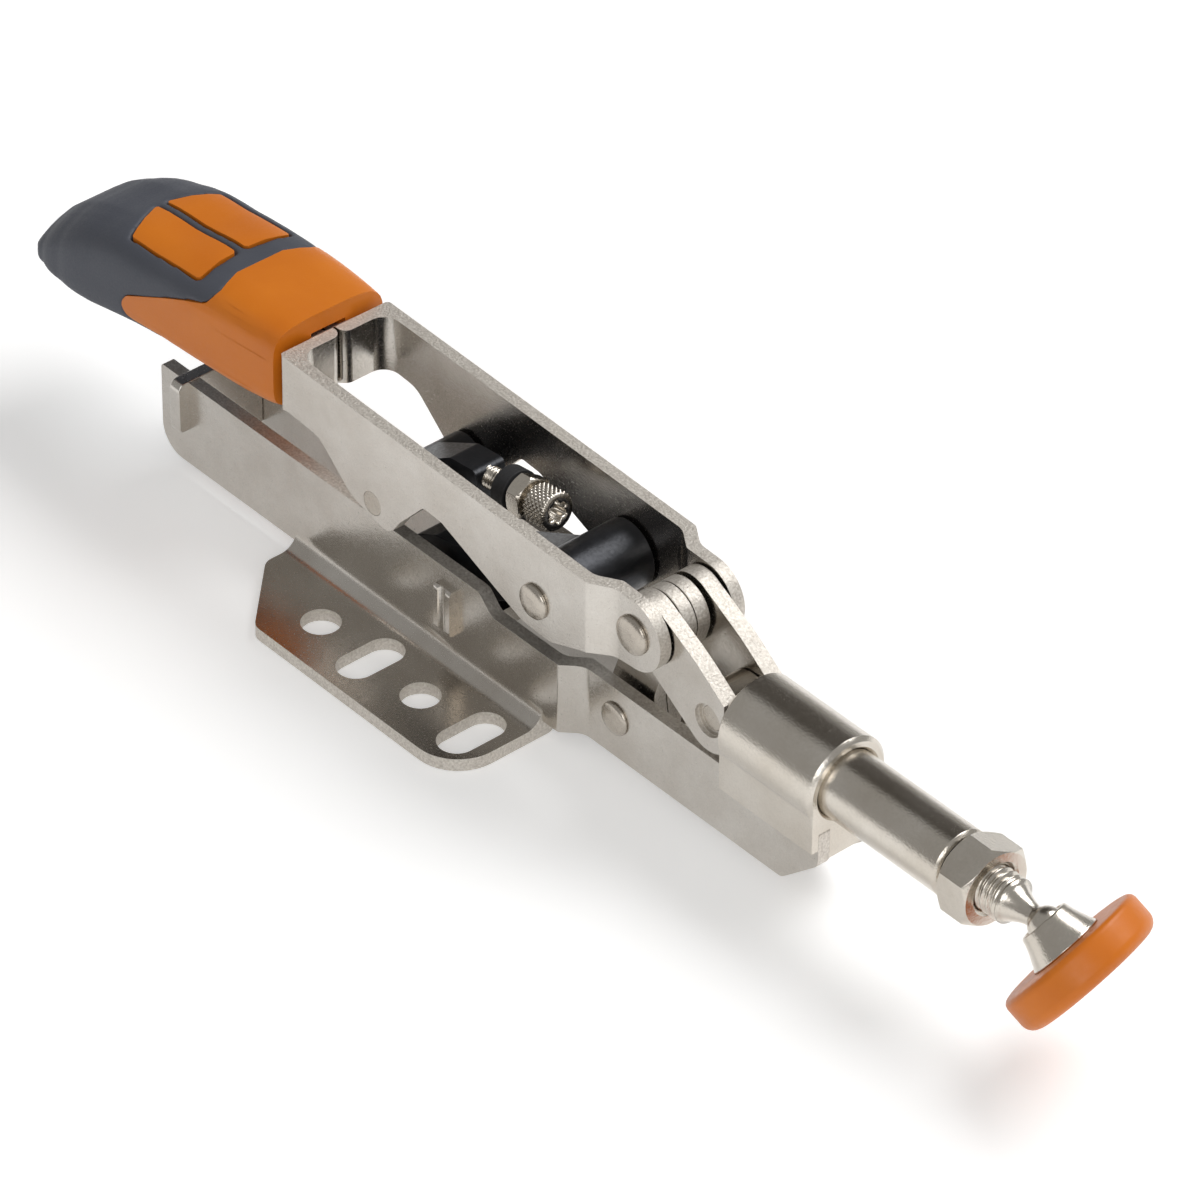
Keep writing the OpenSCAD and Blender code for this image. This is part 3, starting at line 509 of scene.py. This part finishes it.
def thread(along, angles, pitch, depth, start, end):
    """Height of a rolled thread: a rounded saw of (along / pitch - turn), fading at its ends."""
    phase = (along[:, None] / pitch - angles[None, :] / (2 * np.pi)) % 1
    saw = np.clip(CREST_STEEP * np.abs(2 * phase - 1) - CREST_FLAT, 0, 1)
    fade = np.clip((along - start) / pitch, 0, 1) * np.clip((end - along) / pitch, 0, 1)
    return -depth * saw * fade[:, None]


def spindle_surface():
    """Rows along the spindle and their radii: plain shaft, thread, cone and ball.

    The cone's radius falls as (1 - share) ** CONE_BEND from the thread to the neck, and the
    ball's is BALL_R * sin(turn) at BALL_X - BALL_R * cos(turn).
    """
    thread_end = NUT_FRONT + THREAD_SHOWN
    neck_x = BALL_X - math.sqrt(BALL_R ** 2 - NECK_R ** 2)
    neck_turn = math.degrees(math.asin(NECK_R / BALL_R))
    plain = np.arange(SPINDLE_BACK + 0.5, THREAD_FROM, PLAIN_STEP)
    threaded = np.arange(THREAD_FROM, thread_end - 0.3, THREAD_STEP)
    shaft = np.concatenate([[SPINDLE_BACK, SPINDLE_BACK + 0.001], plain, threaded, [thread_end]])
    shaft_r = np.where(shaft < thread_end - 0.01, SPINDLE_R, CONE_R)
    shaft_r[0] = END_R
    cone = np.linspace(0, 1, 14)[1:]
    cone_r = NECK_R + (CONE_R - NECK_R) * (1 - cone) ** CONE_BEND
    turn = np.radians(np.linspace(neck_turn + 6, 178, 20))
    cone_x = thread_end + cone * (neck_x - thread_end)
    along = np.concatenate([shaft, cone_x, BALL_X - BALL_R * np.cos(turn)])
    profile = np.concatenate([shaft_r, cone_r, BALL_R * np.sin(turn)])
    cut = thread(along, round_angles(SPINDLE_STEPS), SPINDLE_PITCH, SPINDLE_CUT,
                 THREAD_FROM - 0.2, thread_end - 0.2)
    return along, profile[:, None] + cut * (profile > SPINDLE_R - 0.1)[:, None]


def nut_turned(points):
    """The nut as it happens to stand: y and z turned about the plunger's axis."""
    y, z = points[:, 1], points[:, 2] - AXIS_H
    cosine, sine = math.cos(NUT_TURN), math.sin(NUT_TURN)
    return np.stack([points[:, 0], y * cosine - z * sine, AXIS_H + y * sine + z * cosine], 1)


spindle = turned("ball_spindle_threaded", *spindle_surface(), (0, 0, AXIS_H), (1, 0, 0), bright_nickel)
stand_for(spindle, "ball_spindle")
finished("lock_nut", bright_nickel, width=0.14, reshape=nut_turned)

# Pad cup
# Pressed steel cup, snapped over the spindle's ball: a smooth flare from a rolled lip round
# the ball to the cap that it carries. All lengths are from the ball's middle.
PAD_AXIS = (0.78043, 0.20665, -0.59012)
CUP_BACK, CUP_FRONT = -1.0, 4.4
# Socket for the ball: its floor, where its round begins and ends, and its radius
SOCKET_FLOOR, SOCKET_FROM, SOCKET_TO, BALL_SOCKET_R = 1.6, 1.5, -0.55, 3.35
LIP_R, LIP_AT = 0.42, 3.95
FLARE_BACK, FLARE_R, FLARE_OUT, FLARE_BEND = -0.5, 4.42, 1.95, 1.25
CUP_STEPS = 72

hollow = np.linspace(SOCKET_FROM, SOCKET_TO, 7)
lip = np.radians(np.linspace(-180, 0, 9))
flare = np.linspace(0, 1, 12)
cup_along = np.concatenate([[SOCKET_FLOOR], hollow, CUP_BACK + LIP_R + LIP_R * np.sin(lip),
                            FLARE_BACK + flare * (CUP_FRONT - FLARE_BACK), [CUP_FRONT]])
cup_r = np.concatenate([[END_R], np.sqrt(BALL_SOCKET_R ** 2 - hollow ** 2), LIP_AT + LIP_R * np.cos(lip),
                        FLARE_R + FLARE_OUT * flare ** FLARE_BEND, [END_R]])
cup = turned("pad_cup_pressed", cup_along, np.repeat(cup_r[:, None], CUP_STEPS, 1),
             (BALL_X, 0, AXIS_H), PAD_AXIS, bright_nickel)
stand_for(cup, "pad_cup")

# Adjusting screw
# A finer thread than the spindle's, cut on a rod that screws into the carriage, with a
# knurled head and a six-lobed socket. Its nut and its ring lie behind the head.
SCREW_R, SCREW_BACK = 2.0, -1.0
SCREW_PITCH, SCREW_CUT = 0.7, 0.36
SCREW_STEP, KNURL_STEP = 0.06, 0.1
KNOB_BACK, KNOB_FRONT, KNOB_R, KNOB_CHAMFER = 14.7, 19.7, 3.55, 0.5
KNURLS, KNURL_CUT, KNURL_STEEP, KNURL_FLAT = 22, 0.3, 1.25, 0.15
SOCKET_MOUTH, SOCKET_R, SOCKET_LOBE, SOCKET_EDGE, SOCKET_DEEP = 2.4, 1.7, 0.16, 0.25, 2.4
# How far the nut and the ring stand forward of their solids, as the head does
SCREW_OUT = 3.2


def screw_surface():
    """Rows along the screw and their radii: threaded rod, knurled head and its socket.

    The knurl is two crossed saws of (turn +- along), the deeper one at each point, and the
    socket's radius is SOCKET_R * (1 + SOCKET_LOBE * cos(6 * angle)).
    """
    angles = round_angles(8 * KNURLS)
    winding = np.arange(SCREW_BACK + 0.3, KNOB_BACK, SCREW_STEP)
    rod = np.concatenate([[SCREW_BACK, SCREW_BACK], winding, [KNOB_BACK]])
    rod_r = np.full(len(rod), SCREW_R)
    rod_r[0] = END_R
    threaded = rod_r[:, None] + thread(rod, angles, SCREW_PITCH, SCREW_CUT, SCREW_BACK + 0.4, KNOB_BACK)
    rim = np.arange(KNOB_BACK + 0.4, KNOB_FRONT - 0.35, KNURL_STEP)
    turn = angles * KNURLS / (2 * np.pi)
    crossed = [np.abs(2 * ((turn[None, :] + sign * rim[:, None]) % 1) - 1) for sign in (1, -1)]
    knurl = KNOB_R - KNURL_CUT * np.clip(KNURL_STEEP * np.maximum(*crossed) - KNURL_FLAT, 0, 1)
    rounds = (KNOB_R - KNOB_CHAMFER, SOCKET_MOUTH, END_R)
    chamfer, mouth, end = [np.full_like(angles, r) for r in rounds]
    lobes = SOCKET_R * (1 + SOCKET_LOBE * np.cos(6 * angles))
    radius = np.concatenate([threaded, [chamfer], knurl, [chamfer, mouth, lobes + SOCKET_EDGE],
                             [lobes, 0.9 * lobes, end]])
    floor = KNOB_FRONT - SOCKET_DEEP
    along = np.concatenate([rod, [KNOB_BACK + 0.001], rim, [KNOB_FRONT - 0.02, KNOB_FRONT, KNOB_FRONT],
                            [KNOB_FRONT - SOCKET_EDGE, floor, floor]])
    return along, radius


def screwed_out(points):
    """Every point moved forward along the screw."""
    return points + SCREW_OUT * np.array(SCREW_AXIS)


screw = turned("adjusting_screw_knurled", *screw_surface(), SCREW_AT, SCREW_AXIS, bright_nickel)
stand_for(screw, "adjusting_screw")
finished("adjuster_nut", bright_nickel, width=0.1, reshape=screwed_out)
finished("adjuster_ring", black_rubber, width=0.12, reshape=screwed_out)

# Pad and handle
# The pressure cap is cast polyurethane. The handle is moulded in two shots: hard orange
# plastic in front, a soft slate grip over it, with two orange panels let into its top.
TINT_WAVES, TINT_DETAIL, TINT_ROUGHNESS = 60, 4, 0.55
MOULDED_SHINE = 0.4
SPARK_STRENGTH = 0.5
HANDLE_FRONT, HANDLE_LOW = -33.209, 29.608
CAD_LENGTH = 73.5
# The solid's sections: share of its length, top edge, underside, half width
CAD_SECTIONS = np.array([
    [0, 14, 0, 11.7], [0.06, 14.1, -1, 11.8], [0.25, 14.1, -2.1, 12], [0.45, 13, -3.2, 12.4],
    [0.65, 11, -5.2, 12.7], [0.8, 8, -7.2, 12.3], [0.9, 4.4, -8.6, 10.7], [0.96, 1.2, -9.2, 8.1],
    [0.99, -1.4, -9.2, 5.1], [1, -3.4, -8.9, 3.1]])
# The handle's own sections: distance back, top edge, underside, half width, dome
HAND_SECTIONS = np.array([
    [0, 14, 0.2, 11.7, 0], [4, 14.1, -0.4, 12.2, 0], [18.8, 14, -1.3, 12.9, 0], [32, 13, -2.2, 13.1, 0],
    [42, 12, -4, 13.1, 0.3], [49, 9.8, -5.3, 13.1, 1.2], [56, 6.1, -4.9, 13, 3], [60.5, 3, -4, 12.4, 3.6],
    [63.4, 0.9, -3.4, 11.3, 3.2], [65, -0.5, -3, 9.8, 2.2], [65.8, -1.5, -2.6, 8, 0.9]])
TAIL_FROM, TAIL_SHORTER = 36.8, 0.21
EDGE_LIFT = 1.5
# The panels' front edge: its distance back, how far its slant is felt, and half its width.
# Its middle goes back by SLANT_MIDDLE, and its ends lie SLANT_TURN forward of that.
PANEL_FRONT, SLANT_REACH, PANEL_HALF = 21.3, 6, 9.4
SLANT_TURN, SLANT_MIDDLE = 5.3, 3.5
GRIP_GRID = 0.00042
RUB_FACTOR, RUB_PASSES = 0.5, 7
PANEL_GAP = 0.4


def moulded(name, color, shade, smooth, rough, waves, depth):
    """A moulded finish: faint colour clouds and the fine spark-eroded grain of the tool."""
    material, tree, shader, place = new_material(name)
    tint = grain(tree, place, TINT_WAVES, TINT_DETAIL, TINT_ROUGHNESS)
    clouds = span(tree, tint, 0, 1, from_low=0.35, from_high=0.7)
    wire(tree, blend_colors(tree, clouds, color, shade), shader.inputs["Base Color"])
    pores = grain(tree, place, waves, detail=2, roughness=0.6)
    wire(tree, span(tree, pores, smooth, rough), shader.inputs["Roughness"])
    shader.inputs["Specular IOR Level"].default_value = MOULDED_SHINE
    relief(tree, shader, [(pores, depth, SPARK_STRENGTH)])
    return material


cast_orange = moulded("cast_orange", color=(0.71, 0.195, 0.012), shade=(0.63, 0.155, 0.008),
                      smooth=0.34, rough=0.46, waves=1100, depth=0.00005)
hard_orange = moulded("hard_orange", color=(0.73, 0.205, 0.012), shade=(0.67, 0.175, 0.009),
                      smooth=0.36, rough=0.48, waves=2300, depth=0.00003)
soft_slate = moulded("soft_slate", color=(0.082, 0.088, 0.108), shade=(0.068, 0.074, 0.093),
                     smooth=0.52, rough=0.66, waves=2600, depth=0.00004)


def smooth_curve(knots, values, at):
    """Cubic Hermite curve through the knots, with slopes from the neighbours' chord."""
    slopes = np.gradient(values, knots)
    index = np.clip(np.searchsorted(knots, at) - 1, 0, len(knots) - 2)
    step = knots[index + 1] - knots[index]
    t = np.clip((at - knots[index]) / step, 0, 1)
    first, last = values[index], values[index + 1]
    return ((2 * t ** 3 - 3 * t ** 2 + 1) * first + (t ** 3 - 2 * t ** 2 + t) * step * slopes[index]
            + (3 * t ** 2 - 2 * t ** 3) * last + (t ** 3 - t ** 2) * step * slopes[index + 1])


def palm_shape(points):
    """Each cross-section of the solid is stretched onto the handle's own one.

    Distance back d becomes d - k (d - d0)^2 / (L - d0) past d0, and in a section the height
    keeps its share between underside and top edge, and the width its share of the half width.
    In the upper half, the long edges rise towards the front and the tail is domed, by the
    section's dome times 1 - (y / half)^2. The panels' front edge turns by |y|.
    """
    back = HANDLE_FRONT - points[:, 0]
    share = np.clip(back / CAD_LENGTH, 0, 1)
    tail = np.maximum(back - TAIL_FROM, 0)
    real = back - TAIL_SHORTER * tail ** 2 / (CAD_LENGTH - TAIL_FROM)
    old = [np.interp(share, CAD_SECTIONS[:, 0], CAD_SECTIONS[:, column]) for column in (1, 2, 3)]
    new = [smooth_curve(HAND_SECTIONS[:, 0], HAND_SECTIONS[:, column], real) for column in (1, 2, 3, 4)]
    rise = (points[:, 2] - HANDLE_LOW - old[1]) / (old[0] - old[1])
    y = points[:, 1] * new[2] / old[2]
    across = np.minimum((y / new[2]) ** 2, 1)
    lift = (EDGE_LIFT * (1 - share) * across + new[3] * (1 - across)) * np.clip(2 * rise - 1, 0, 1)
    z = HANDLE_LOW + new[1] + rise * (new[0] - new[1]) + lift
    turn = SLANT_TURN * np.minimum(np.abs(y) / PANEL_HALF, 1) - SLANT_MIDDLE
    slant = np.exp(-((real - PANEL_FRONT) / SLANT_REACH) ** 2) * turn
    return np.stack([HANDLE_FRONT - real + slant, y, z], 1)


def panel_shape(points):
    """A panel on the reshaped handle, drawn in towards its middle to leave a dark groove."""
    moved = palm_shape(points)
    low, high = moved.min(axis=0), moved.max(axis=0)
    shrink = 1 - 2 * PANEL_GAP / (high - low)
    shrink[2] = 1
    return (low + high) / 2 + (moved - (low + high) / 2) * shrink


finished("pad_cap", cast_orange, width=0.15)
finished("handle_core", hard_orange, width=0.45, reshape=palm_shape)
grip = finished("handle_grip", soft_slate, width=0.2, reshape=palm_shape)
grip.modifiers.clear()
even = grip.modifiers.new("even grid", "REMESH")
even.mode = "VOXEL"
even.voxel_size = GRIP_GRID
even.use_smooth_shade = True
rubbed = grip.modifiers.new("soft edges", "SMOOTH")
rubbed.factor = RUB_FACTOR
rubbed.iterations = RUB_PASSES
for name in ("inlay_left", "inlay_right"):
    finished(name, hard_orange, width=0.25, reshape=panel_shape)
